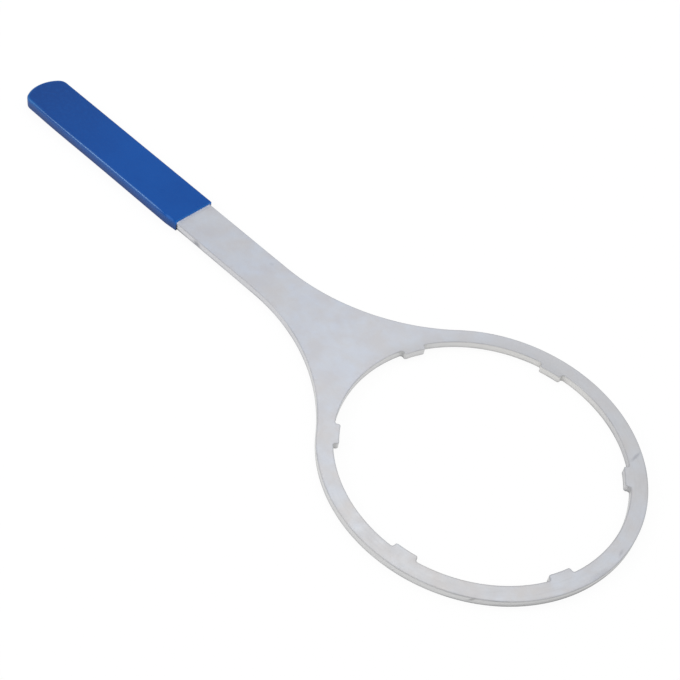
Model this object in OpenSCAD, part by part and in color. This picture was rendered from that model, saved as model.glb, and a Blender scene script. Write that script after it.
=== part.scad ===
// Flat ring wrench for the sump of a large water filter housing, sizes in millimetres.
// The origin is the centre of the ring on the underside of the plate.
// The handle runs along -X, and +Z is the upper side of the plate.

/* [Ring] */
// Clear diameter of the ring between the lugs
ring_bore = 179.6; // [150:0.2:220]
// Width of the ring's band, from the bore to the outer edge
ring_band = 10.2; // [6:0.2:18]
// Thickness of the steel plate
plate_t = 5; // [3:0.5:8]

/* [Lugs] */
// Number of lugs round the bore
lug_count = 6; // [3:1:8]
// Width of a lug between its parallel sides
lug_w = 14.8; // [9:0.2:24]
// Height of a lug, from the bore inwards to its tip
lug_h = 3.6; // [2.5:0.1:7]
// Radius of the two corners at a lug's tip
lug_corner_r = 1.5; // [0.5:0.1:1.5]
// Radius of the fillets where a lug grows out of the bore
lug_root_r = 1.5; // [0.5:0.1:1.5]
// Angle of the first lug from the +X axis, seen from above
lug_phase = 40.5; // [0:0.5:60]

/* [Handle] */
// Width of the straight bar
handle_w = 30; // [22:0.5:36]
// Distance from the ring's centre to the end of the bar
handle_reach = 421.8; // [360:0.2:560]
// Radius of the two hollow fillets between the ring and the bar
neck_r = 140; // [80:1:200]
// Radius of the crowned end of the bar
crown_r = 22.3; // [18:0.1:60]

/* [Grip] */
// Length of the sleeve, from its open end to the top of its crown
grip_l = 164.5; // [80:0.5:210]
// Wall of the sleeve all round the bar
grip_wall = 1.6; // [1.2:0.1:4]
// Radius of the sleeve's outer edges
grip_edge_r = 1.5; // [0.4:0.1:2.4]
// Gap between the bar and the inside of the sleeve
grip_clearance = 0.1; // [0:0.05:0.3]

/* [Hidden] */
$fn = 96;

// How far outlines that are joined or cut run past each other
lap = 0.5;
// How far a fillet runs past the edge that it is tangent to, so that the two truly cross
seam = 0.001;

ring_bore_r = ring_bore / 2;
ring_outer_r = ring_bore_r + ring_band;
handle_half = handle_w / 2;

// Centre of a neck fillet, which is tangent to the ring's outer edge and to the bar's side
neck_y = handle_half + neck_r - seam;
neck_x = sqrt(pow(ring_outer_r + neck_r - seam, 2) - pow(neck_y, 2));
neck_angle = atan2(neck_y, neck_x);

// A lug's tip corners and root fillets each take at most this share of its height
lug_round_share = 0.42;
tip_r = min(lug_corner_r, lug_round_share * lug_h);
root_r = min(lug_root_r, lug_round_share * lug_h);

// Centre of a lug's tip corner, which is tangent to the tip circle and to the lug's side
lug_half = lug_w / 2;
lug_tip_r = ring_bore_r - lug_h;
tip_y = lug_half - tip_r + seam;
tip_x = sqrt(pow(lug_tip_r + tip_r - seam, 2) - pow(tip_y, 2));
tip_angle = atan2(tip_y, tip_x);

// Centre of a lug's root fillet, which is tangent to the bore and to the lug's side
root_y = lug_half + root_r - seam;
root_x = sqrt(pow(ring_bore_r - root_r + seam, 2) - pow(root_y, 2));
root_angle = atan2(root_y, root_x);
// The lug's foot ends in the middle of the ring's band
foot_r = ring_bore_r + ring_band / 2;

// Centre of the crown, shared by the bar, the sleeve and the sleeve's cavity
crown_x = handle_reach - crown_r;

// Distance from the bar to the outside of the sleeve, and the sleeve's open end and heights
grip_off = grip_clearance + grip_wall;
grip_open_x = handle_reach + grip_off - grip_l;
grip_low = -grip_off;
grip_high = plate_t + grip_off;

function polar(r, a) = [r * cos(a), r * sin(a)];

// Bar along +X from a start to its crowned end, grown by an even offset
module crowned_bar(start_x, grow) {
    half = handle_half + grow;
    end_r = crown_r + grow;
    difference() {
        translate([start_x, -half]) square([crown_x + end_r + lap - start_x, 2 * half]);
        difference() {
            translate([crown_x, -half - lap]) square([end_r + 2 * lap, 2 * (half + lap)]);
            translate([crown_x, 0]) circle(end_r);
        }
    }
}

// Web between the ring and the bar along +X, hollowed on both sides by the neck fillets
module neck() {
    difference() {
        polygon([
            [0, 0],
            polar(ring_outer_r + lap, -neck_angle),
            [neck_x, -handle_half - lap],
            [neck_x, handle_half + lap],
            polar(ring_outer_r + lap, neck_angle),
        ]);
        for (side = [-1, 1]) {
            translate([neck_x, side * neck_y]) circle(neck_r);
        }
    }
}

// One lug on the +X axis: its tip follows a circle, its corners are round and its roots filleted
module lug() {
    difference() {
        polygon([
            polar(lug_tip_r - lap, -tip_angle),
            polar(lug_tip_r, -tip_angle),
            [tip_x, -lug_half],
            [root_x, -lug_half],
            [root_x, -lug_half - root_r / 2],
            polar(ring_bore_r - root_r / 2, -root_angle),
            polar(foot_r, -root_angle),
            polar(foot_r, root_angle),
            polar(ring_bore_r - root_r / 2, root_angle),
            [root_x, lug_half + root_r / 2],
            [root_x, lug_half],
            [tip_x, lug_half],
            polar(lug_tip_r, tip_angle),
            polar(lug_tip_r - lap, tip_angle),
        ]);
        circle(lug_tip_r);
        for (side = [-1, 1]) {
            translate([root_x, side * root_y]) circle(root_r);
        }
    }
    for (side = [-1, 1]) {
        translate([tip_x, side * tip_y]) circle(tip_r);
    }
}

// Outline of the whole plate, as it is cut from the sheet
module plate_outline() {
    difference() {
        union() {
            circle(ring_outer_r);
            rotate(180) neck();
            rotate(180) crowned_bar(0, 0);
        }
        circle(ring_bore_r);
    }
    for (i = [0 : lug_count - 1]) {
        rotate(lug_phase + i * 360 / lug_count) lug();
    }
}

// Steel plate: ring, lugs, neck and bar in one piece
module wrench_plate() {
    color("silver") linear_extrude(plate_t) plate_outline();
}

// Section of the sleeve's outside, a flat rectangle with round corners
module sleeve_section(half) {
    core = half - grip_edge_r;
    low = grip_low + grip_edge_r;
    high = grip_high - grip_edge_r;
    translate([-core, grip_low]) square([2 * core, grip_high - grip_low]);
    translate([-half, low]) square([2 * half, high - low]);
    for (y = [-core, core], z = [low, high]) {
        translate([y, z]) circle(grip_edge_r);
    }
}

// The same section turned about the crown's centre, a disc with a round rim
module crown_disc() {
    end_r = crown_r + grip_off;
    rotate_extrude() {
        intersection() {
            sleeve_section(end_r);
            translate([0, grip_low - lap]) square([end_r + lap, grip_high - grip_low + 2 * lap]);
        }
    }
}

// Outside of the sleeve along +X: a straight run, cut at its end to the crown with its round rim
module sleeve_outside() {
    half = handle_half + grip_off;
    end_x = handle_reach + grip_off + lap;
    difference() {
        translate([grip_open_x, 0, 0])
            rotate([90, 0, 90])
                linear_extrude(end_x - grip_open_x)
                    sleeve_section(half);
        difference() {
            translate([crown_x, -half - lap, grip_low - lap])
                cube([end_x + lap - crown_x, 2 * (half + lap), grip_high - grip_low + 2 * lap]);
            translate([crown_x, 0, 0]) crown_disc();
        }
    }
}

// Soft sleeve pushed over the bar, closed at the crown and open towards the ring
module handle_grip() {
    color("royalblue")
        rotate(180)
            difference() {
                sleeve_outside();
                translate([0, 0, -grip_clearance])
                    linear_extrude(plate_t + 2 * grip_clearance)
                        crowned_bar(grip_open_x - lap, grip_clearance);
            }
}

wrench_plate();
handle_grip();
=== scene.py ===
# %% [markdown]
# # A flat ring wrench for the sump of a filter housing
# The real tool is two pieces: a plate of zinc-plated steel, cut in one go as ring, lugs, neck and
# bar, and a blue vinyl sleeve pushed over the end of the bar. This lesson rebuilds both around the
# CAD frame, which gives their sizes and stays hidden behind them.

import bmesh
import bpy
import numpy as np
from mathutils import Matrix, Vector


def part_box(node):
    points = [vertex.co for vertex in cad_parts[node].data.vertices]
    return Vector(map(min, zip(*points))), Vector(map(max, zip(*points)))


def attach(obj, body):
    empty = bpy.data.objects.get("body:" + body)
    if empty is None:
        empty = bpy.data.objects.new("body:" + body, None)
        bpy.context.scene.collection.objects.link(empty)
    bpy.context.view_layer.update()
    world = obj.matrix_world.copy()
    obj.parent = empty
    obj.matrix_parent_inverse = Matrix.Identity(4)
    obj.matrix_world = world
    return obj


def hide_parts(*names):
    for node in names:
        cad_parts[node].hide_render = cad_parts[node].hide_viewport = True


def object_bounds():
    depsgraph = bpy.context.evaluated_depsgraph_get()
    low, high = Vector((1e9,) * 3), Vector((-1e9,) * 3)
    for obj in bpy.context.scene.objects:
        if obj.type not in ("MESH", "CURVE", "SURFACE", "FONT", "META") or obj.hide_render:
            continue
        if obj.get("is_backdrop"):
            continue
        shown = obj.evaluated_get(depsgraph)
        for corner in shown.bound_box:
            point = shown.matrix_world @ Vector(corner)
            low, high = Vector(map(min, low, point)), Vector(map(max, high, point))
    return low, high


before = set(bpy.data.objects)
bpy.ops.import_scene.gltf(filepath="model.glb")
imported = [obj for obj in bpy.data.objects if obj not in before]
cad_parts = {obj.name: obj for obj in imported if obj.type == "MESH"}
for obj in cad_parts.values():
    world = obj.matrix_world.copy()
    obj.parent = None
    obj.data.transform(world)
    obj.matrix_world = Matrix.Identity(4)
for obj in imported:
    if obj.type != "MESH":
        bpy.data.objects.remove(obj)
cad_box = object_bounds()
print("CAD nodes:", sorted(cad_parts))

# %% [markdown]
# ## Sizes
# The frame gives each node's box, so the overall sizes are read from it and can't drift from the
# solids. The rest of the outline, such as the lugs and the neck's fillets, repeats the part's own
# values. All work is in millimetres, and the meshes are turned into metres at the very end.
# Along the handle the lesson uses "reach", the distance from the ring's centre, which is -X. The
# side at -Y, which the photograph looks at, is called near, the other one far, and +X is right.

# %% Sizes in millimetres
MM = 0.001
plate_low, plate_high = (np.array(c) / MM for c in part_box("wrench_plate"))
grip_low, grip_high = (np.array(c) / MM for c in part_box("handle_grip"))

ring_outer_r, ring_width = plate_high[0], 10.2
ring_bore_r = ring_outer_r - ring_width
plate_t = plate_high[2] - plate_low[2]
lug_count, lug_first = 6, 40.5
lug_half, lug_h = 7.4, 3.6
lug_tip_corner, lug_root_fillet = 1.5, 1.5
bar_half, neck_r = 15.0, 140.0
bar_reach, bar_crown_r, bar_corner_r = -plate_low[0], 22.3, 5.3
grip_half, grip_reach, grip_open = grip_high[1], -grip_low[0], -grip_high[0]
print(f"plate {plate_t:.1f} mm thick, ring {2 * ring_outer_r:.0f} mm across, "
      f"sleeve {grip_reach - grip_open:.1f} mm long")

# %% [markdown]
# ## The edge that the cut leaves
# The plate's edges are crisp, with only a small break, and the plating is duller along them: each
# edge shows as a thin darker line, weighted up at the foot of each wall as painted contact shade. A
# bevel modifier could break the edges, but it would also touch every line of the flat faces. Here
# the edge is a profile instead: "how far the outline is grown", "height" and "how dull", which is
# later carried round every outline. It begins and ends a little way in on the flat faces, so that
# the dull line and the smooth shading of the round end there.

# %% Edge profile
def edge_profile(low, high, edge_r, steps, flat, wall, top_line, low_line, low_weight):
    """Offset, height and dullness along an edge, from the upper flat face down to the lower one.
    The rounds are quarter circles: offset -r + r sin(a), height high - r + r cos(a), for a from
    0 to 90 degrees on top, and the mirror image of that below. Beside a round there are points at
    the distances in flat and wall. The dullness is a bell curve of the distance to each corner,
    and the lower corner has a weight of its own."""
    a = np.linspace(0, np.pi / 2, steps)
    flat, wall = np.array(flat), np.array(wall)
    offset = np.concatenate([-edge_r - flat, -edge_r + edge_r * np.sin(a), 0 * wall,
                             0 * wall, -edge_r + edge_r * np.cos(a), -edge_r - flat[::-1]])
    height = np.concatenate([high + 0 * flat, high - edge_r + edge_r * np.cos(a),
                             high - edge_r - wall[::-1], low + edge_r + wall,
                             low + edge_r - edge_r * np.sin(a), low + 0 * flat])
    dull = (np.exp(-(offset ** 2 + (height - high) ** 2) / top_line ** 2)
            + low_weight * np.exp(-(offset ** 2 + (height - low) ** 2) / low_line ** 2))
    return offset, height, dull


# The lower corner's weight of 1.4 makes the line at each wall's foot painted contact shade
plate_edge = edge_profile(plate_low[2], plate_high[2], edge_r=0.15, steps=5,
                          flat=(0.85, 0.6, 0.4, 0.2), wall=(2.1, 1.5, 1.0, 0.6, 0.3),
                          top_line=0.6, low_line=1.1, low_weight=1.4)
print("points across the plate's edge:", len(plate_edge[0]))

# %% [markdown]
# ## The stretches of a lug
# Each of the six lugs has a tip on a circle, round corners, straight sides and small fillets at its
# roots. The arcs could be drawn by hand, but their centres follow from the sizes: a corner touches
# the tip's circle and the side, and a fillet touches the side and the bore. The ring's strip joins
# each point of the bore to a partner on the outer edge, so each stretch also gets the angle at
# which it ends there.

# %% Centres and ends of the stretches
lug_tip_r = ring_bore_r - lug_h
tip_centre_y = lug_half - lug_tip_corner
tip_centre_x = np.sqrt((lug_tip_r + lug_tip_corner) ** 2 - tip_centre_y ** 2)
tip_angle = np.arctan2(tip_centre_y, tip_centre_x)
root_centre_y = lug_half + lug_root_fillet
root_centre_x = np.sqrt((ring_bore_r - lug_root_fillet) ** 2 - root_centre_y ** 2)
root_angle = np.arctan2(root_centre_y, root_centre_x)

tip_share, corner_short, side_past = 0.78, 0.95, 0.05
end_tip = tip_share * tip_angle
end_corner = np.arcsin((lug_half - corner_short) / ring_outer_r)
end_side = np.arcsin((lug_half + side_past) / ring_outer_r)
end_root = root_angle
half_pitch = np.pi / lug_count
print(f"half a lug ends {np.degrees(end_root):.2f} degrees from its middle")

# %% [markdown]
# ## The ring's inner outline
# The bore with its lugs could be cut with a Boolean, which would leave long thin faces. Instead the
# whole outline is one function of an angle: the angle picks the stretch of the lug that it falls
# on, and that stretch is a circle or a line. Growing the outline only changes the radii, because
# the centres of the arcs stay where they are.

# %% Inner outline as a function of an angle
def off_lug(angle):
    """Angle measured from the middle of the nearest lug, at most half a pitch to either side."""
    return (angle - np.radians(lug_first) + half_pitch) % (2 * half_pitch) - half_pitch


def bore_outline(angle, grow):
    """Points (x, y) of the bore with its lugs, for angles (n,) and growths (p,), as arrays (n, p).
    Seen from its nearest lug, an angle falls on the tip's circle, the corner's arc, the straight
    side, the root's arc or the bore's circle, and runs evenly along that stretch."""
    off = off_lug(angle)
    lug = (angle - off)[:, None]
    side = np.sign(off)[:, None]
    a, g = np.abs(off)[:, None], np.asarray(grow)[None, :]
    tip = a / end_tip * tip_angle
    corner = np.interp(a, [end_tip, end_corner], [np.pi + tip_angle, np.pi / 2])
    flank = np.interp(a, [end_corner, end_side], [tip_centre_x, root_centre_x])
    root = np.interp(a, [end_side, end_root], [-np.pi / 2, root_angle])
    stretch = [a <= end_tip, a <= end_corner, a <= end_side, a <= end_root]
    x = np.select(stretch, [(lug_tip_r - g) * np.cos(tip),
                            tip_centre_x + (lug_tip_corner + g) * np.cos(corner),
                            flank + 0 * g,
                            root_centre_x + (lug_root_fillet - g) * np.cos(root)],
                  (ring_bore_r - g) * np.cos(a))
    y = side * np.select(stretch, [(lug_tip_r - g) * np.sin(tip),
                                   tip_centre_y + (lug_tip_corner + g) * np.sin(corner),
                                   lug_half + g + 0 * a,
                                   root_centre_y + (lug_root_fillet - g) * np.sin(root)],
                         (ring_bore_r - g) * np.sin(a))
    return x * np.cos(lug) - y * np.sin(lug), x * np.sin(lug) + y * np.cos(lug)


tip_x, tip_y = bore_outline(np.radians([lug_first]), [0.0])
print(f"the first lug's tip is at x {tip_x[0, 0]:.1f}, y {tip_y[0, 0]:.1f} mm")

# %% [markdown]
# ## The ring's outer outline and the neck
# Outside, the ring is a plain circle, except where the neck leaves it: two fillets of 140 mm are
# tangent to the circle and to the bar. Under the neck the ring's strip needs a border that it can
# share with the handle. A flatter arc from one tangent point to the other does that, because it
# meets the fillets at an angle, where the circle would run into them in two cusps.

# %% Outer outline and the border under the neck
neck_y = bar_half + neck_r
neck_x = np.sqrt((ring_outer_r + neck_r) ** 2 - neck_y ** 2)
neck_angle = np.arctan2(neck_y, neck_x)
border_bend = np.radians(28.9)
border_r = np.sin(neck_angle) / np.sin(border_bend)
border_x = np.cos(neck_angle) - border_r * np.cos(border_bend)


def from_handle(angle):
    """Angle measured from the handle's line, between -180 and 180 degrees."""
    return (angle + 2 * np.pi) % (2 * np.pi) - np.pi


def border_reach(p):
    """Distance of the flatter arc from the ring's centre, in outer radii: a ray at angle p from
    the handle's line meets it at c cos(p) + root(r r - c c sin(p) sin(p))."""
    return border_x * np.cos(p) + np.sqrt(border_r ** 2 - (border_x * np.sin(p)) ** 2)


def rim_outline(angle, grow):
    """Points (x, y) on the ring's outer edge: the circle, or the flatter arc under the neck."""
    p = from_handle(angle)
    share = np.where(np.abs(p) < neck_angle, border_reach(p), 1.0)[:, None]
    reach = share * (ring_outer_r + np.asarray(grow)[None, :])
    return reach * np.cos(angle)[:, None], reach * np.sin(angle)[:, None]


def border_share(angle):
    """Place of an angle along the flatter arc, from -1 at one tangent point to 1 at the other."""
    p = from_handle(angle)
    return np.arcsin(np.clip(border_reach(p) * np.sin(p) / border_r, -1, 1)) / border_bend


print(f"neck begins {np.degrees(neck_angle):.1f} degrees to either side of the handle's line")

# %% [markdown]
# ## Where the ring is sampled
# Curves need more points than straight runs. Each stretch of a lug gets its own count, the pattern
# is repeated for the six lugs, and a few more points go where the edge has a nick and to the two
# angles at which the neck begins. An even count would be simpler, but would blunt the lugs or waste
# points on the plain circle.

# %% Sample angles round the ring
ends = (0.0, end_tip, end_corner, end_side, end_root, half_pitch)
counts = (7, 8, 4, 9, 20)
half_lug = np.concatenate([np.linspace(start, stop, count)[:-1]
                           for start, stop, count in zip(ends, ends[1:], counts)] + [[half_pitch]])
one_lug = np.concatenate([-half_lug[:0:-1], half_lug[:-1]])
lug_angles = np.radians(lug_first) + 2 * half_pitch * np.arange(lug_count)
ring_angle = (lug_angles[:, None] + one_lug[None, :]).ravel()

ring_nick_angle, ring_nick_span, ring_nick_points = np.radians(-52.9), 2.4, 24
nick_off = np.radians(np.linspace(-ring_nick_span, ring_nick_span, ring_nick_points))
neck_ends = np.pi + neck_angle * np.array([-1, 1])
ring_angle = np.concatenate([ring_angle, ring_nick_angle + nick_off, neck_ends])

# Sorted from one end of the neck, with doubles left out
slack, angle_digits = 1e-6, 8
past_neck = (ring_angle - np.pi + neck_angle + slack) % (2 * np.pi) - slack
ring_angle = np.unique(np.round(past_neck, angle_digits)) + np.pi - neck_angle
under_neck = ring_angle <= np.pi + neck_angle + slack
print("samples round the ring:", len(ring_angle), "of which under the neck:", under_neck.sum())

# %% [markdown]
# ## The bar's side
# From the ring outwards, the side of the handle is the neck's fillet, a straight run, a small
# corner and then the crown that closes the bar. The sleeve has the same side without the neck, so
# one function serves both. Again only the radii change when the outline is grown.

# %% Side of a bar as a function of its samples
def corner_reach(half, crown_x, crown_r, corner_r):
    """Reach of the centre of a corner that touches the bar's side and its crown from inside: the
    crown's centre plus root((R - r) (R - r) - (w - r) (w - r)) for a half width w."""
    return crown_x + np.sqrt((crown_r - corner_r) ** 2 - (half - corner_r) ** 2)


def bar_side(grow, along, half, crown_x, crown_r, corner_r, steps):
    """Reach and half width (n, p) along a bar's side: a straight run and the corner's arc, which
    turns from square to the side until it meets the crown."""
    g = np.asarray(grow)[None, :]
    centre = corner_reach(half, crown_x, crown_r, corner_r)
    turn = np.linspace(np.pi / 2, np.arctan2(half - corner_r, centre - crown_x), steps)[:, None]
    reach = np.concatenate([along[:, None] + 0 * g, centre + (corner_r + g) * np.cos(turn)[1:]])
    wide = np.concatenate([half + g + 0 * along[:, None],
                           half - corner_r + (corner_r + g) * np.sin(turn)[1:]])
    return reach, wide


def neck_side(grow, steps):
    """Reach and half width (n, p) along the neck's fillet, a circle of neck_r less the growth,
    from the ring to the bar."""
    turn = np.linspace(np.pi + neck_angle, 1.5 * np.pi, steps)[:-1, None]
    r = neck_r - np.asarray(grow)[None, :]
    return neck_x + r * np.cos(turn), neck_y + r * np.sin(turn)


bar_crown_x = bar_reach - bar_crown_r
bar_corner_x = corner_reach(bar_half, bar_crown_x, bar_crown_r, bar_corner_r)
print(f"bar runs straight from reach {neck_x:.1f} to {bar_corner_x:.1f} mm")

# %% [markdown]
# ## From sides to a skin
# A flat bar is a stack of rows, each running across from one side to the other. Where the outline
# is curved at both ends, a row is an arc, so that the first one fits the ring and the last one is
# the crown itself. Taken once round the section, the rows make a tube, and a strip of the edge
# profile closes it at the crown. A face filled in by Blender would close it too, but would shade
# unevenly.

# %% Rows across a bar, and its skin
least_bend = 1e-9


def row_across(reach, wide, bend, share):
    """Points (n, m) of arcs across the bar: an arc of half angle b over a half width w has
    y = w sin(b t) / sin(b) and bulges by w (cos(b t) - cos(b)) / sin(b), for t from -1 to 1."""
    b = np.maximum(bend, least_bend)[:, None]
    t = share[None, :]
    y = wide[:, None] * np.sin(b * t) / np.sin(b)
    return reach[:, None] + wide[:, None] * (np.cos(b * t) - np.cos(b)) / np.sin(b), y


def grid_of(x, y, z, dull):
    """Points (..., 4) from x, y, height and dullness, all broadcast."""
    return np.stack(np.broadcast_arrays(x, y, z, dull), axis=-1)


def bar_skin(side, edge, bend, share):
    """Tube (n, k, 4) round a bar and strip (m, p, 4) over its crown.
    side(grow) gives the reach and half width of the outline, edge the profile's offsets, heights
    and dullness, bend each row's half angle, and share the places of the points across a row."""
    grow, height, dull = edge
    reach, wide = side(grow)
    top_reach, top_y = row_across(reach[:, 0], wide[:, 0], bend, share)
    low_reach, low_y = row_across(reach[:, -1], wide[:, -1], bend, share)
    top = grid_of(-top_reach, -top_y, height[0], dull[0])
    low = grid_of(-low_reach, -low_y, height[-1], dull[-1])
    right, left = (grid_of(-reach, sign * wide, height, dull) for sign in (-1, 1))
    tube = np.concatenate([top, right[:, 1:], low[:, -2::-1], left[:, -2::-1]], axis=1)
    end_reach, end_y = row_across(reach[-1], wide[-1], np.full(len(grow), bend[-1]), share)
    return tube, grid_of(-end_reach.T, -end_y.T, height, dull)


print(f"the first row bulges by {np.tan(border_bend / 2):.3f} of the neck's half width")

# %% [markdown]
# ## One mesh from several grids
# Every grid is an array of points, and neighbouring grids share their border points to the last
# digit. Rounding the points and keeping each one once welds them into a closed mesh. Blender then
# turns all faces outwards, which it can only do once nothing is open. The dullness of each point
# goes along as an attribute, which the finishes read.

# %% Weld grids into a mesh object
weld_digits = 5


def store(mesh, name, value):
    """Keeps one value for each point of a mesh."""
    layer = mesh.attributes.new(name, "FLOAT", "POINT")
    layer.data.foreach_set("value", value.astype(np.float32))


def weld(name, grids):
    """Mesh object from grids (n, m, 4) in millimetres. Faces join neighbouring rows and columns."""
    points, quads, start = [], [], 0
    for grid in grids:
        n, m = grid.shape[:2]
        index = start + np.arange(n * m).reshape(n, m)
        corners = [index[:-1, :-1], index[1:, :-1], index[1:, 1:], index[:-1, 1:]]
        quads.append(np.stack(corners, axis=-1).reshape(-1, 4))
        points.append(grid.reshape(-1, 4))
        start += n * m
    points, quads = np.concatenate(points), np.concatenate(quads)
    rounded = np.round(points[:, :3], weld_digits)
    _, first, same = np.unique(rounded, axis=0, return_index=True, return_inverse=True)
    mesh = bpy.data.meshes.new(name)
    mesh.from_pydata((points[first, :3] * MM).tolist(), [], same.ravel()[quads].tolist())
    work = bmesh.new()
    work.from_mesh(mesh)
    bmesh.ops.recalc_face_normals(work, faces=work.faces)
    open_edges = sum(not e.is_manifold for e in work.edges)
    print(f"{name}: {len(work.verts)} points, {len(work.faces)} faces, {open_edges} open edges, "
          f"volume {work.calc_volume(signed=True) / MM ** 3:.0f} mm3")
    work.to_mesh(mesh)
    work.free()
    store(mesh, "dullness", points[first, 3])
    mesh.shade_smooth()
    piece = bpy.data.objects.new(name, mesh)
    bpy.context.scene.collection.objects.link(piece)
    return piece


print(f"points that agree to {10.0 ** -weld_digits:g} mm become one")

# %% [markdown]
# ## The handle of the plate
# Ring and handle are one piece of steel, but they are easier to describe apart. The handle's skin
# follows the neck, the straight run and the corner. Its rows begin as arcs that fit the border
# under the neck, straighten out along the neck, and bend again towards the crown.

# %% Plate: skin of the handle
neck_steps, bar_rows, corner_steps, bend_run = 44, 40, 7, 30.0
bar_nick_reach, bar_nick_span, bar_nick_rows = 237.8, 5.0, 31
nick_along = bar_nick_reach + np.linspace(-bar_nick_span, bar_nick_span, bar_nick_rows)
bar_along = np.unique(np.concatenate([np.linspace(neck_x, bar_corner_x, bar_rows), nick_along]))


def plate_side(g):
    """Neck, straight run and corner of the plate, one after the other."""
    neck = neck_side(g, neck_steps)
    bar = bar_side(g, bar_along, bar_half, bar_crown_x, bar_crown_r, bar_corner_r, corner_steps)
    return np.concatenate([neck[0], bar[0]]), np.concatenate([neck[1], bar[1]])


def ease(x):
    """Smooth step from 0 to 1: 3 x x - 2 x x x."""
    x = np.clip(x, 0, 1)
    return x * x * (3 - 2 * x)


grow, height, dull = plate_edge
plate_reach = plate_side(grow[:1])[0][:, 0]
neck_start = ring_outer_r * np.cos(neck_angle)
crown_bend = np.arctan2(bar_half - bar_corner_r, bar_corner_x - bar_crown_x)
plate_bend = (border_bend * (1 - ease((plate_reach - neck_start) / (neck_x - neck_start)))
              + crown_bend * ease(1 + (plate_reach - plate_reach[-1]) / bend_run))
neck_columns = border_share(ring_angle[under_neck])
plate_tube, plate_end = bar_skin(plate_side, plate_edge, plate_bend, neck_columns)
print("rows along the handle:", len(plate_reach), "columns:", len(neck_columns))

# %% [markdown]
# ## The ring of the plate
# The ring is a strip between the two outlines, once on top and once below, with the edge profile
# carried round the bore and round the free part of the outer circle. The handle's skin joins it
# under the neck, point by point, so no join shows in the steel.

# %% Plate: ring, and the weld
ring_columns = 6
across_ring = np.linspace(0, 1, ring_columns)[None, :]


def ring_face(g, z, dull):
    """Flat face of the ring: straight lines from the bore's outline to the outer one."""
    x0, y0 = bore_outline(ring_angle, [g])
    x1, y1 = rim_outline(ring_angle, [g])
    return grid_of(x0 + (x1 - x0) * across_ring, y0 + (y1 - y0) * across_ring, z, dull)


def close(grid):
    """The same grid with its first row repeated at the end, so that it runs full circle."""
    return np.concatenate([grid, grid[:1]])


free_angle = np.append(ring_angle[under_neck.sum() - 1:], ring_angle[0] + 2 * np.pi)
bore_wall = grid_of(*bore_outline(ring_angle, grow), height, dull)
rim_wall = grid_of(*rim_outline(free_angle, grow), height, dull)
ring_top, ring_low = (ring_face(grow[i], height[i], dull[i]) for i in (0, -1))
full_circles = [close(grid) for grid in (ring_top, ring_low, bore_wall)]
plate = weld("zinc_plate", [*full_circles, rim_wall, plate_tube, plate_end])

# %% [markdown]
# ## Nicks in the steel
# A handled plate has a few small knocks on its edges: the photograph shows a slanting one across
# the ring's near wall and a shallow one low on the bar's near wall. Each is a soft groove: points
# near its line are pushed in, by a depth that falls off like a bell curve, faster across the groove
# than along it. The mesh was given extra points there, so the grooves show from every side, where
# a bump in the material would only change the light.

# %% Press the nicks into the edges
outward, upward = np.array([np.cos(ring_nick_angle), np.sin(ring_nick_angle), 0.0]), np.eye(3)[2]
ring_run = np.array([-outward[1], outward[0], 0.0])
bar_run, near_side = np.eye(3)[0], -np.eye(3)[1]
edge_nicks = [
    # middle of the groove, direction out of the metal, direction along it, depth, width, length
    (ring_outer_r * outward + 3.4 * upward, outward, 0.8 * ring_run + 0.6 * upward, 0.7, 0.55, 2.4),
    (np.array([-bar_nick_reach, -bar_half, 1.7]), near_side, bar_run, 0.45, 1.4, 2.0),
]


def points_of(piece):
    """Points of a mesh object as an array (n, 3) in millimetres."""
    flat = np.empty(3 * len(piece.data.vertices), np.float32)
    piece.data.vertices.foreach_get("co", flat)
    return flat.reshape(-1, 3).astype(float) / MM


steel = points_of(plate)
pressed = np.zeros(len(steel))
for middle, out_of, run, depth, wide, long in edge_nicks:
    gap = steel - middle
    along = gap @ run
    aside = (gap ** 2).sum(axis=1) - along ** 2
    share = np.exp(-along ** 2 / long ** 2 - aside / wide ** 2)
    steel -= depth * share[:, None] * out_of
    pressed = np.maximum(pressed, share)
plate.data.vertices.foreach_set("co", (steel * MM).ravel().astype(np.float32))
plate.data.update()
store(plate.data, "pressed", pressed)
print("nicks pressed:", len(edge_nicks))

# %% [markdown]
# ## Telling the finish where walls and corners are
# The cut walls are a little lighter than the flat faces, and the inner corners at the roots of the
# lugs get painted shade, because little light and little plating get into them. The rim on the
# ring's right gets painted shade too. Separate materials for these faces would end in hard lines,
# so three attributes hold a share for each point: the wall's share comes from how far its normal
# leans, the root's share is a bell curve of the distance to the nearest root, and the painted shade
# of the rim fades in along X.

# %% Wall, root and rim attributes
root_spread, rim_shade_start, rim_shade_stop = 1.2, 50.0, 95.0


def lean_of(piece):
    """How far each point's normal leans: 0 on the flat faces and 1 on upright walls."""
    normals = np.empty(3 * len(piece.data.vertices), np.float32)
    piece.data.vertex_normals.foreach_get("vector", normals)
    return 1 - np.abs(normals.reshape(-1, 3)[:, 2])


wall_share = lean_of(plate)
store(plate.data, "wall_share", wall_share)

from_centre = np.hypot(steel[:, 0], steel[:, 1])
off = off_lug(np.arctan2(steel[:, 1], steel[:, 0]))
root_gap = np.hypot(from_centre * np.cos(off) - np.sqrt(ring_bore_r ** 2 - lug_half ** 2),
                    np.abs(from_centre * np.sin(off)) - lug_half)
store(plate.data, "root_share", wall_share * np.exp(-(root_gap / root_spread) ** 2))

# Painted shade on the outer rim to the ring's right
on_rim = from_centre > (ring_bore_r + ring_outer_r) / 2
rim_shade_ramp = ease((steel[:, 0] - rim_shade_start) / (rim_shade_stop - rim_shade_start))
store(plate.data, "shaded_rim", wall_share * on_rim * rim_shade_ramp)
print("wall points:", int((wall_share > 0.5).sum()))

# %% [markdown]
# ## The vinyl sleeve
# The sleeve is a thin hollow tube with softly rounded long edges and a crowned end. It could be a
# thickened box, but then its lip would be square and its cavity would follow the outside. So it is
# made of two skins, the outside and the cavity, each from the same bar function as the steel.

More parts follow.
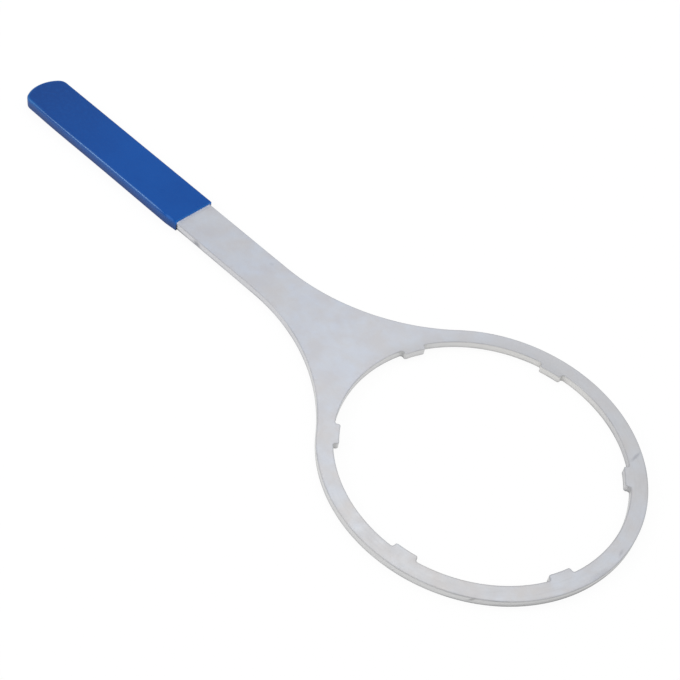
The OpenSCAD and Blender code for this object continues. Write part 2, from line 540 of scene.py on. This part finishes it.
# %% Sleeve: outside and cavity
sleeve_gap, lip_depth = 0.04, 0.45
sleeve_wall = grip_half - bar_half - sleeve_gap
sleeve_corner_r = bar_corner_r + grip_half - bar_half
sleeve_rows, sleeve_steps = 70, 9
sleeve_columns = np.linspace(-1, 1, 33)


def sleeve_skin(start, inset, edge_r):
    """Tube and end strip of the sleeve's outside, or of its cavity for an inset of one wall."""
    half, crown_r = grip_half - inset, grip_reach - bar_crown_x - inset
    corner_r = sleeve_corner_r - inset
    corner_x = corner_reach(half, bar_crown_x, crown_r, corner_r)
    along = np.linspace(start, corner_x, sleeve_rows)
    edge = edge_profile(grip_low[2] + inset, grip_high[2] - inset, edge_r, sleeve_steps,
                        flat=(0.8, 0.1), wall=(1.6, 0.8, 0.1),
                        top_line=1.0, low_line=1.0, low_weight=1.0)

    def side(g):
        return bar_side(g, along, half, bar_crown_x, crown_r, corner_r, sleeve_steps)

    reach = side(edge[0][:1])[0][:, 0]
    end_bend = np.arctan2(half - corner_r, corner_x - bar_crown_x)
    bend = end_bend * ease(1 + (reach - reach[-1]) / bend_run)
    return bar_skin(side, edge, bend, sleeve_columns)


outside, outside_end = sleeve_skin(grip_open + lip_depth, 0.0, edge_r=1.5)
cavity, cavity_end = sleeve_skin(grip_open, sleeve_wall, edge_r=0.18)
print(f"sleeve wall {sleeve_wall:.2f} mm, grids {outside.shape[:2]} and {cavity.shape[:2]}")

# %% [markdown]
# ## A sleeve that isn't quite even
# Soft vinyl that was pushed over a bar is never true. In the photograph the far side stands a
# little wider, the near side swells before the crown, the crown's two halves differ, and the near
# side hugs the bar at the open end. Sculpting could do that, but can't be read again later. Here
# each is a small move of the finished grids, worth less than a millimetre.

# %% Sleeve: uneven outside
far_bulge, near_bulge = 0.22, 0.38
bulge_reach, bulge_run, bulge_stop = 386.0, 36.0, 20.0
far_crown, near_crown, crown_run = 0.55, (0.4, 0.9), 25.0
hug, hug_run = 0.8, 10.5


def depth_below(grid):
    """Depth of each point below the sleeve's top, as a share of the sleeve's height."""
    return (grip_high[2] - grid[..., 2]) / (grip_high[2] - grip_low[2])


def uneven(grid):
    """The same grid a little wider on its far side, and on its near side by a bell curve of the
    reach, with the crown's far half moved outwards and its near half moved back, more at its foot
    than on top. No point goes past the end of the CAD box."""
    reach, share = -grid[..., 0], grid[..., 1] / grip_half
    moved = grid.copy()
    spread = np.where(reach < bulge_reach, bulge_run, bulge_stop)
    bell = np.exp(-((reach - bulge_reach) / spread) ** 2)
    moved[..., 1] += far_bulge * ease(share) - near_bulge * ease(-share) * bell
    back = near_crown[0] + (near_crown[1] - near_crown[0]) * depth_below(grid)
    outwards = far_crown * np.maximum(share, 0) - back * np.minimum(share, 0) ** 2
    moved[..., 0] -= outwards * ease(1 - (grip_reach - reach) / crown_run)
    moved[..., 0] = np.maximum(moved[..., 0], -grip_reach)
    return moved


outside, outside_end = uneven(outside), uneven(outside_end)
from_open = -outside[..., 0] - grip_open
near_share = np.clip(-outside[..., 1] / grip_half, 0, 1)
outside[..., 1] += hug * ease(near_share) * ease(1 - from_open / hug_run)
print(f"sleeve from y {outside[..., 1].min():.2f} to {outside[..., 1].max():.2f} mm")

# %% [markdown]
# ## The sleeve's open end
# The end is a plain cut with a small round outside, and the cut is a little askew: the near side
# comes further forward, and its upright wall further still. A Boolean cut could give the slant but
# not the round. So a lip joins the two skins, and then all three grids are moved together near the
# open end, which keeps them joined.

# %% Sleeve: lip, askew mouth and the weld
lip_share, lip_steps, cut_steps = 0.3, 7, 6
mouth_skew, mouth_bulge, skew_run = 0.35, 1.8, 25.0
bulge_share, bulge_peak = 0.75, 0.6

# The lip turns by a quarter round from the outside and then runs straight across the wall
turn = np.linspace(0, np.pi / 2, lip_steps)
straight = np.linspace(lip_share, 1, cut_steps)[1:]
across_wall = np.concatenate([lip_share * (1 - np.cos(turn)), straight])
behind_lip = lip_depth * np.concatenate([1 - np.sin(turn), 0 * straight])
lip = outside[0] + (cavity[0] - outside[0]) * across_wall[:, None, None]
lip[..., 0] = -grip_open - behind_lip[:, None]


def skew_mouth(grid):
    """The same grid with its open end moved towards the ring, by nothing on the far side and by
    the whole skew on the near side. The near wall bulges further, by a parabola of the depth b
    below the top, which has its peak at p: 1 - ((b - p) / p) squared. The move fades out along the
    sleeve."""
    share, off_peak = grid[..., 1] / grip_half, depth_below(grid) / bulge_peak - 1
    near_wall = np.clip((-share - bulge_share) / (1 - bulge_share), 0, 1)
    moved = grid.copy()
    ahead = mouth_skew * (1 - share) / 2 + mouth_bulge * near_wall * (1 - off_peak ** 2)
    moved[..., 0] += ahead * ease(1 + (grid[..., 0] + grip_open) / skew_run)
    return moved


skins = [skew_mouth(grid) for grid in (outside, lip, cavity)]
grip = weld("vinyl_grip", [*skins, outside_end, cavity_end])
store(grip.data, "wall_share", lean_of(grip))

# %% [markdown]
# ## A finish, in general
# Zinc and vinyl could each be a picture wrapped round the piece, but a picture has one size and
# shows its seams. Both finishes are built from nodes alone. Patterns read Object coordinates, which
# stay with the piece when it moves. Colours are written as a screen shows them, from 0 to 255, and
# turned into the linear values that Blender works with.

# %% Start a finish, and write a colour
def new_finish(name):
    """Empty node material: returns it, its tree, its shader and the piece's own coordinates."""
    material = bpy.data.materials.new(name)
    material.use_nodes = True
    tree = material.node_tree
    shader = tree.nodes["Principled BSDF"]
    where = tree.nodes.new("ShaderNodeTexCoord").outputs["Object"]
    return material, tree, shader, where


def feed(node, inputs):
    """Feeds a node's sockets, by name or number, with other nodes' outputs or plain values."""
    for socket, value in inputs.items():
        if isinstance(value, bpy.types.NodeSocket):
            node.id_data.links.new(value, node.inputs[socket])
        else:
            node.inputs[socket].default_value = value


def rgb(r, g, b):
    """Linear colour from the values of a screen: ((c / 255 + 0.055) / 1.055) to the power 2.4."""
    return tuple(((c / 255 + 0.055) / 1.055) ** 2.4 for c in (r, g, b)) + (1.0,)


print(f"a screen's grey of 180 is {rgb(180, 180, 180)[0]:.3f} in linear light")

# %% [markdown]
# ## Sums, ranges and patterns
# Nodes could be wired one by one, but a finish with a hundred of them would be hard to read. A few
# short helpers make one node each, in the tree of the output that it reads, and hand back its own
# output, so that a finish reads like a formula.

# %% Helpers that make one node each
def node_for(output, kind, inputs):
    """New shader node, already fed, in the tree that another node's output belongs to."""
    node = output.id_data.nodes.new("ShaderNode" + kind)
    feed(node, inputs)
    return node


def sums(how, first, second):
    """One sum with an output and a value or output, such as SUBTRACT or MAXIMUM."""
    node = node_for(first, "Math", {0: first, 1: second})
    node.operation = how
    return node.outputs[0]


def times(first, second):
    """Product of two values."""
    return sums("MULTIPLY", first, second)


def plus(first, second):
    """Sum of two values."""
    return sums("ADD", first, second)


def between(value, low, high, new_low=0.0, new_high=1.0):
    """Stretches a value from one range to another and holds it there."""
    limits = {"From Min": low, "From Max": high, "To Min": new_low, "To Max": new_high}
    return node_for(value, "MapRange", {"Value": value, **limits}).outputs["Result"]


def ramp(length, start, stop, low=0.0, high=1.0):
    """Runs from one value to another between two places on a length, given in millimetres."""
    return between(length, start * MM, stop * MM, low, high)


def noise(where, scale, detail=3.0, rough=0.55):
    """Cloudy noise between 0 and 1, with features about 1 / scale metres wide."""
    look = {"Scale": scale, "Detail": detail, "Roughness": rough}
    return node_for(where, "TexNoise", {"Vector": where, **look}).outputs["Fac"]


def mix(share, first, second):
    """Mix of two colours by a share. A mix of colours has them in sockets 6 and 7."""
    node = node_for(share, "Mix", {0: share, 6: first, 7: second})
    node.data_type = "RGBA"
    return node.outputs[2]


def axes_of(where):
    """The three coordinates of a place."""
    return tuple(node_for(where, "SeparateXYZ", {0: where}).outputs)


def length_of(vector):
    """Length of a vector: root(x x + y y + z z)."""
    node = node_for(vector, "VectorMath", {0: vector})
    node.operation = "LENGTH"
    return node.outputs["Value"]


print("node helpers are ready")

# %% [markdown]
# ## Zinc plating: the flat faces
# Clear-passivated zinc is a pale satin metal with a faint blue cast that wanders into grey along
# the tool, mottled between warmer, darker and cooler, lighter patches. Ramps along X and Y and
# clouds of noise of four sizes mix the tones. Faint streaks run round the ring, as handling leaves
# them, and a duller band lies beside the bore. Streaks could be a stretched noise, but round a
# ring they need the radius and the angle.

# %% Zinc: tone of the flat faces
warm_grey, warm_blue = rgb(178.7, 176.4, 176.1), rgb(174.7, 176.4, 184.1)
cool_grey, cool_blue = rgb(181.3, 183.6, 187.9), rgb(177.3, 183.6, 195.9)
far_shade_zinc, patch_zinc = rgb(170, 171, 174), rgb(183, 183, 185)
streak_zinc, speck_zinc = rgb(164, 165, 168), rgb(161, 162, 165)
streak_pull, streak_share, band_share = 0.008, 0.4, 0.5
far_shade_share, patch_share, speck_share = 0.5, 0.35, 0.14


def streaks(where, x, y):
    """Share of the streaks' grey: noise of the radius and of a little of the angle, which fades
    out towards the neck, plus a band that falls off evenly with the radius, between the neck and
    the far side."""
    radius, angle = length_of(where), sums("ARCTAN2", y, x)
    polar = node_for(radius, "CombineXYZ", {"X": radius, "Y": times(angle, streak_pull)})
    share = between(noise(polar.outputs[0], 700, 2.0), 0.5, 0.8, 0.0, streak_share)
    share = times(share, ramp(x, -60, -20))
    band = times(ramp(radius, 89, 98, band_share, 0.0), ramp(x, 10, -20))
    return plus(share, times(band, ramp(y, -10, 20)))


zinc, tree, shader, where = new_finish("zinc_plating")
x, y, z = axes_of(where)
# Clouds of about 20, 11, 7 and 0.7 mm
cloud = between(noise(where, 48), 0.35, 0.65)
mottle = between(noise(where, 89), 0.35, 0.65)
patch = between(noise(where, 150, 4.0), 0.3, 0.7)
speck = between(noise(where, 1500, 2.0), 0.3, 0.7)

# The blue cast grows towards the handle, the far side and the ring's right end
cast = plus(ramp(x, 30, -130, 0.0, 0.65), ramp(y, -90, 90, 0.0, 0.3))
cast = plus(cast, between(cloud, 0.0, 1.0, -0.25, 0.2))
cast = plus(cast, ramp(x, 50, 95, 0.0, 0.3))
warm, cool = mix(cast, warm_grey, warm_blue), mix(cast, cool_grey, cool_blue)
tone = mix(mottle, warm, cool)
# Painted shade: the ring's far side is darker
tone = mix(ramp(y, 30, 95, 0.0, far_shade_share), tone, far_shade_zinc)
tone = mix(times(patch, patch_share), tone, patch_zinc)
tone = mix(streaks(where, x, y), tone, streak_zinc)
tone = mix(times(speck, speck_share), tone, speck_zinc)
print("nodes for the flat faces:", len(tree.nodes))

# %% [markdown]
# ## Zinc plating: walls, edges and corners
# The cut walls are lighter and warmer than the faces, with painted light on a paler stretch on the
# ring's far side and painted shade on one to the right of that. The edges are dull, and at the foot
# of each wall their line is painted contact shade; the right-hand rim gets painted shade, heaviest
# at its foot, the roots of the lugs get painted shade, and the nicks are dark. All of these follow
# the shape, so they are mixed by the attributes that the mesh holds.

# %% Zinc: walls, edges, roots and nicks
ring_wall, bar_wall = rgb(206, 206, 206), rgb(202, 202, 205)
far_lit_wall, shaded_wall = rgb(212, 211, 209), rgb(190, 190, 192)
rim_shade_grey, edge_and_foot_shade_grey = rgb(162, 162, 162), rgb(135, 136, 139)
root_shade_grey, nick_grey = rgb(105, 106, 105), rgb(110, 110, 112)
wall_cover, root_cover, nick_cover = 0.9, 0.4, 0.45


def attribute(tree, name):
    """Value that the mesh holds for each of its points."""
    node = tree.nodes.new("ShaderNodeAttribute")
    node.attribute_name = name
    return node.outputs["Fac"]


wall, dull_line = attribute(tree, "wall_share"), attribute(tree, "dullness")
wall_tone = mix(ramp(x, -90, -150), ring_wall, bar_wall)
# Painted light: the walls on the ring's far side are paler
wall_tone = mix(ramp(y, 40, 75), wall_tone, far_lit_wall)
far_right = times(ramp(x, 10, 55), ramp(y, 20, 60))
wall_tone = mix(far_right, wall_tone, shaded_wall)
tone = mix(times(wall, wall_cover), tone, wall_tone)

# Painted shade on the ring's right-hand rim, heaviest at its foot
shaded_rim = times(attribute(tree, "shaded_rim"), ramp(z, 3.6, 1.4, 0.2, 0.8))
tone = mix(shaded_rim, tone, rim_shade_grey)
# Dull edge lines; painted contact shade at the walls' foot, and painted shade towards the right
line_share = plus(between(cloud, 0.1, 0.9, 0.12, 0.4), ramp(x, 20, 70, 0.0, 0.2))
tone = mix(times(dull_line, line_share), tone, edge_and_foot_shade_grey)
# Painted shade in the lugs' root corners, where little light and little plating get in
tone = mix(times(attribute(tree, "root_share"), root_cover), tone, root_shade_grey)
tone = mix(times(attribute(tree, "pressed"), nick_cover), tone, nick_grey)
print("nodes with walls and edges:", len(tree.nodes))

# %% [markdown]
# ## Zinc plating: scuffs
# A used wrench carries a few grey scuffs where it knocked against other things. They could be
# painted on by hand. Here each is a small turned ellipse with a ragged border, from a list that is
# easy to change.

# %% Zinc: scuffs
scuff_grey = rgb(140, 142, 150)
scuffs = [
    # middle, half sizes and turn of a scuff, in millimetres and degrees, and how strong it is
    ((61.0, 73.0, 5.0), (5.4, 1.1, 1.0), 93.0, 0.6),
    ((97.0, 9.2, 5.0), (3.2, 0.9, 1.0), 106.0, 0.4),
    ((-192.3, 9.4, 5.0), (1.7, 1.3, 1.0), 0.0, 0.25),
    ((98.0, -12.0, 5.0), (2.4, 9.0, 1.0), -7.0, 0.3),
    ((-bar_nick_reach, -bar_half, 1.8), (4.2, 1.2, 3.0), 0.0, 0.45),
]


def scuff(where, middle, half_size, turn, strength):
    """Full strength in the middle of a small turned ellipse on the piece, and 0 from its border
    on: a ramp of the distance in half sizes, to which noise is added to make the border ragged."""
    ellipse = {"Location": np.array(middle) * MM, "Rotation": (0.0, 0.0, np.radians(turn)),
               "Scale": np.array(half_size) * MM}
    local = node_for(where, "Mapping", {"Vector": where, **ellipse})
    local.vector_type = "TEXTURE"
    rag = between(noise(where, 1800), 0.3, 0.7, -0.4, 0.4)
    ragged = plus(length_of(local.outputs["Vector"]), rag)
    return between(ragged, 1.1, 0.4, 0.0, strength)


stain = scuff(where, *scuffs[0])
for values in scuffs[1:]:
    stain = sums("MAXIMUM", stain, scuff(where, *values))
tone = mix(stain, tone, scuff_grey)
print("scuffs:", len(scuffs))

# %% [markdown]
# ## Zinc plating: beside the sleeve
# Where the sleeve ends, its lip has wiped a narrow strip of the steel bright, and the sleeve's
# shadow is painted low on the bar's walls. Both follow the askew mouth, so the nodes work out the
# distance from it with the same formula as the mesh.

# %% Zinc: wiped strip and painted shadow at the foot
wiped_zinc, sleeve_shadow_grey = rgb(230, 233, 238), rgb(80, 82, 86)


def from_mouth(x, y, z):
    """Distance along X from the sleeve's mouth, above 0 on the ring's side, in metres: x plus the
    reach of the square mouth, less the skew and less the bulge of the near wall."""
    skewed = ramp(y, grip_half, -grip_half, 0.0, mouth_skew * MM)
    near_wall = ramp(y, -bulge_share * grip_half, -grip_half)
    off_peak = ramp(z, grip_high[2], grip_low[2], -1.0, 1 / bulge_peak - 1)
    hump = between(times(off_peak, off_peak), 1.0, 0.0, 0.0, mouth_bulge * MM)
    ahead = plus(skewed, times(near_wall, hump))
    return sums("SUBTRACT", plus(x, grip_open * MM), ahead)


mouth_gap = from_mouth(x, y, z)
wiped = times(ramp(mouth_gap, 1.6, 0.0), ramp(z, 0.8, 2.0))
tone = mix(wiped, tone, wiped_zinc)
# Painted shadow of the sleeve on the bar's walls, low down by the mouth
foot = times(ramp(mouth_gap, 12.0, 0.0), ramp(z, 1.4, 0.4))
tone = mix(times(foot, wall), tone, sleeve_shadow_grey)
feed(shader, {"Base Color": tone})
print("nodes with marks:", len(tree.nodes))

# %% [markdown]
# ## Zinc plating: sheen and grain
# Plating this dull scatters about half of its light, so the shader is half metal and half plain
# grey: a full metal would show the room too clearly. A grain moves the roughness, so that
# reflections aren't even, and the walls get fine upright lines from the cut, which are a noise that
# is stretched along Z.

# %% Zinc: metal, roughness and cut lines
metal_share, plain_gloss, line_rough = 0.5, 0.1, 0.15
cut_stretch, patch_relief = (1.0, 1.0, 0.08), 0.3


def bump(shader, height, strength, distance):
    """Feeds a height into the shader's normal."""
    relief = {"Height": height, "Strength": strength, "Distance": distance}
    feed(shader, {"Normal": node_for(height, "Bump", relief).outputs["Normal"]})


grain = between(patch, 0.0, 1.0, 0.37, 0.43)
feed(shader, {"Metallic": metal_share, "Specular IOR Level": plain_gloss,
              "Roughness": plus(grain, times(dull_line, line_rough))})
stretched = node_for(where, "Mapping", {"Vector": where, "Scale": cut_stretch}).outputs[0]
cut_lines = times(noise(stretched, 1400, 2.0), wall)
bump(shader, plus(cut_lines, times(patch, patch_relief)), strength=0.25, distance=0.00006)
plate.data.materials.append(zinc)
print("zinc nodes:", len(tree.nodes))

# %% [markdown]
# ## Blue vinyl: the colour
# Dipped or moulded vinyl is smooth but never perfectly even: the blue drifts a little and is deeper
# towards the crown. The upright sides are greyer and darker towards their foot, which is painted
# shade, the crown's rim gets a painted highlight, and the far edge and the end fall away into
# painted shade. A painted highlight makes one pale spot on the near edge by the open end. A single
# even blue would look like a toy.

# %% Vinyl: top, sides and crown
drift_blue, top_blue = rgb(10, 67, 142), rgb(11, 70, 146)
deep_blue, peel_blue = rgb(8, 55, 121), rgb(14, 75, 151)
side_blue, low_blue, foot_blue = rgb(34, 76, 140), rgb(46, 62, 104), rgb(16, 30, 62)
rim_highlight_blue, shade_blue, highlight_spot_blue = rgb(28, 90, 156), rgb(6, 42, 92), rgb(72, 118, 188)
deep_share, peel_share, side_share, rim_highlight_share, shade_share = 0.9, 0.3, 0.8, 0.8, 0.85
highlight_spot = ((-264.0, -16.3, 6.2), (4.5, 1.4, 1.4), 0.0, 0.35)

vinyl, tree, shader, where = new_finish("blue_vinyl")
x, y, z = axes_of(where)
leaning, edge_line = attribute(tree, "wall_share"), attribute(tree, "dullness")
drift = between(noise(where, 45), 0.35, 0.65)
peel = noise(where, 420, 2.0)
blue = mix(drift, drift_blue, top_blue)
blue = mix(ramp(x, -330, -420, 0.0, deep_share), blue, deep_blue)
blue = mix(between(peel, 0.45, 0.75, 0.0, peel_share), blue, peel_blue)

# Painted shade: the sides darken from a greyer blue towards their foot
side_shade = mix(ramp(z, 5.0, 0.0), side_blue, low_blue)
side_shade = mix(ramp(z, -0.2, -1.3), side_shade, foot_blue)
blue = mix(between(leaning, 0.4, 1.0, 0.0, side_share), blue, side_shade)
# Painted highlight along the crown's rim
crown_rim_highlight = times(between(edge_line, 0.005, 0.25, 0.0, rim_highlight_share), ramp(x, -395, -412))
blue = mix(crown_rim_highlight, blue, rim_highlight_blue)
far_side = sums("MAXIMUM", ramp(y, -8, 0), ramp(x, -414, -419))
shade = times(far_side, between(leaning, 0.03, 0.25, 0.0, shade_share))
blue = mix(shade, blue, shade_blue)
# Painted highlight: one pale spot on the near edge by the open end
blue = mix(scuff(where, *highlight_spot), blue, highlight_spot_blue)
print("nodes for the blue:", len(tree.nodes))

# %% [markdown]
# ## Blue vinyl: mouth and sheen
# The fresh cut at the mouth is a clearer blue on top, and painted shadow makes it dark below. The
# surface has a dull sheen, broken up by a faint orange peel, and the near long edge, rubbed by
# hands, has a bluish glint that fades towards the crown and ends before the mouth. The glint could
# be painted on, but a stronger specular level lets it come from the light and move with the view.

# %% Vinyl: mouth, glint and peel
lip_blue, lip_shadow_blue = rgb(30, 100, 182), rgb(9, 30, 58)
glint_start, glint_full, glint_tint = grip_open + 8, grip_open + 20, (0.52, 0.81, 1.0, 1.0)

# Painted shadow darkens the lower part of the mouth's cut
mouth_blue = mix(ramp(z, 5.0, 3.8), lip_blue, lip_shadow_blue)
blue = mix(ramp(from_mouth(x, y, z), -0.4, 0.0), blue, mouth_blue)

rubbed = times(edge_line, ramp(y, 0, -8))
rubbed = times(rubbed, ramp(x, -410, -350, 0.4, 1.0))
rubbed = times(rubbed, ramp(x, -glint_start, -glint_full))
feed(shader, {"Base Color": blue, "Roughness": between(peel, 0.3, 0.7, 0.33, 0.36),
              "Specular IOR Level": between(rubbed, 0.1, 0.6, 0.13, 1.0),
              "Specular Tint": glint_tint})
bump(shader, peel, strength=0.05, distance=0.0001)
grip.data.materials.append(vinyl)
print("vinyl nodes:", len(tree.nodes))

# %% [markdown]
# ## Joining the frame
# Each piece stands for its CAD node, which is hidden, and moves with the one body that a tool
# without joints has.

# %% Ride and replace
dressed = ((plate, "wrench_plate", "zinc_plated_steel"), (grip, "handle_grip", "blue_vinyl"))
for piece, cad_node, cad_slot in dressed:
    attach(piece, "root")
    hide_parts(cad_node)
    print(piece.name, "stands for", cad_node)

# %% [markdown]
# ## Floor
# The tool lies on a white table. It rests on the ring's edge opposite the handle and on the open
# end of the sleeve, which is lower than the plate, so the floor leans a little to touch both.
# Seen by the camera or in a reflection, most of the floor's light is its own, which makes it white
# like a studio sweep, and the rest is plain diffuse, which keeps the shadow.

# %% Floor
floor_size, floor_sink, own_light, matt_grey = 6000.0, 0.02, 0.92, 0.88


def seen_directly(tree):
    """1 for rays from the camera, from a reflection or through glass, and 0 for all others."""
    path = tree.nodes.new("ShaderNodeLightPath").outputs
    seen = sums("MAXIMUM", path["Is Camera Ray"], path["Is Glossy Ray"])
    return sums("MAXIMUM", seen, path["Is Transmission Ray"])


floor_lean = -grip_low[2] / (ring_outer_r + grip_open)
corner = np.array([[-1, -1], [1, -1], [1, 1], [-1, 1]]) * floor_size / 2
floor_z = (corner[:, 0] - ring_outer_r) * floor_lean - floor_sink
floor_mesh = bpy.data.meshes.new("floor")
floor_mesh.from_pydata((np.column_stack([corner, floor_z]) * MM).tolist(), [], [(0, 1, 2, 3)])
floor = bpy.data.objects.new("floor", floor_mesh)
bpy.context.scene.collection.objects.link(floor)
floor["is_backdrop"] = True

sweep, tree, shader, _ = new_finish("white_sweep")
tree.nodes.remove(shader)
matt, glow, both = (tree.nodes.new("ShaderNode" + kind)
                    for kind in ("BsdfDiffuse", "Emission", "MixShader"))
feed(matt, {"Color": (matt_grey, matt_grey, matt_grey, 1.0)})
feed(both, {0: times(seen_directly(tree), own_light), 1: matt.outputs[0], 2: glow.outputs[0]})
feed(tree.nodes["Material Output"], {"Surface": both.outputs[0]})
floor_mesh.materials.append(sweep)
print(f"floor leans {np.degrees(np.arctan(floor_lean)):.2f} degrees")

# %% [markdown]
# ## Light
# The photograph has very even light, as in a white tent. A white world gives most of it, and two
# large soft boxes add direction: one on the left, whose glint runs along the sleeve's near edge,
# and one behind, which the flat steel mirrors towards the camera.

# %% World and soft boxes
world = bpy.data.worlds.new("studio")
bpy.context.scene.world = world
world.use_nodes = True
sky = world.node_tree.nodes["Background"]
feed(sky, {"Color": (1.0, 1.0, 1.0, 1.0), "Strength": 1.0})


def turned(right, up, back):
    """Turn of an object whose own axes point right, up and back, as a matrix."""
    return Matrix(np.column_stack([right, up, back]).tolist()).to_4x4()


def soft_box(name, aim, direction, away, size, power):
    """Square area light that looks at a point from a direction, all in metres and watts."""
    lamp = bpy.data.lights.new(name, "AREA")
    lamp.size, lamp.energy = size, power
    box = bpy.data.objects.new(name, lamp)
    back = np.array(direction) / np.linalg.norm(direction)
    right = np.cross([0, 0, 1], back)
    right /= np.linalg.norm(right)
    stand = Matrix.Translation((np.array(aim) + away * back).tolist())
    box.matrix_world = stand @ turned(right, np.cross(back, right), back)
    bpy.context.scene.collection.objects.link(box)


soft_box("left_box", aim=(-0.34, 0.0, 0.0), direction=(-0.58, -0.60, 0.55),
         away=1.6, size=0.35, power=6.0)
soft_box("back_box", aim=(0.06, 0.02, 0.0), direction=(-0.30, 0.43, 0.85),
         away=1.8, size=0.6, power=3.2)

# %% [markdown]
# ## Camera
# The camera stands where the photograph was taken from, found by fitting the ring's two ellipses
# and the bar's edges. It looks down by 47 degrees and is rolled a little.

# %% Camera at the photograph's place
picture, focal_pixels, sensor = 680, 1388.0, 36.0
azimuth, elevation, roll = np.radians([35.33, 46.95, 12.44])
look_at, distance = np.array([-0.1204, 0.0013, 0.0]), 0.8732

level = np.array([np.cos(azimuth), np.sin(azimuth), 0.0])
back = np.array([np.sin(azimuth) * np.cos(elevation), -np.cos(azimuth) * np.cos(elevation),
                 np.sin(elevation)])
down = np.cross(-back, level)
right = np.cos(roll) * level - np.sin(roll) * down
up = -(np.sin(roll) * level + np.cos(roll) * down)
lens = bpy.data.cameras.new("camera")
lens.sensor_width = sensor
lens.lens = focal_pixels / picture * sensor
camera = bpy.data.objects.new("camera", lens)
stand = Matrix.Translation((look_at + distance * back).tolist())
camera.matrix_world = stand @ turned(right, up, back)
bpy.context.scene.collection.objects.link(camera)
bpy.context.scene.camera = camera
bpy.context.scene.view_settings.view_transform = "Standard"
print(f"lens {lens.lens:.1f} mm")

# %% [markdown]
# ## Check the size and finish
# The looks must not change the size, so the boxes before and after are compared at their top corner
# and the growth is printed.

# %% Growth of the box, and the last line
new_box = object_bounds()
grown = [round((b - a) / MM, 3) for a, b in zip(cad_box[1], new_box[1])]
print("grown by", grown, "mm at the top corner")
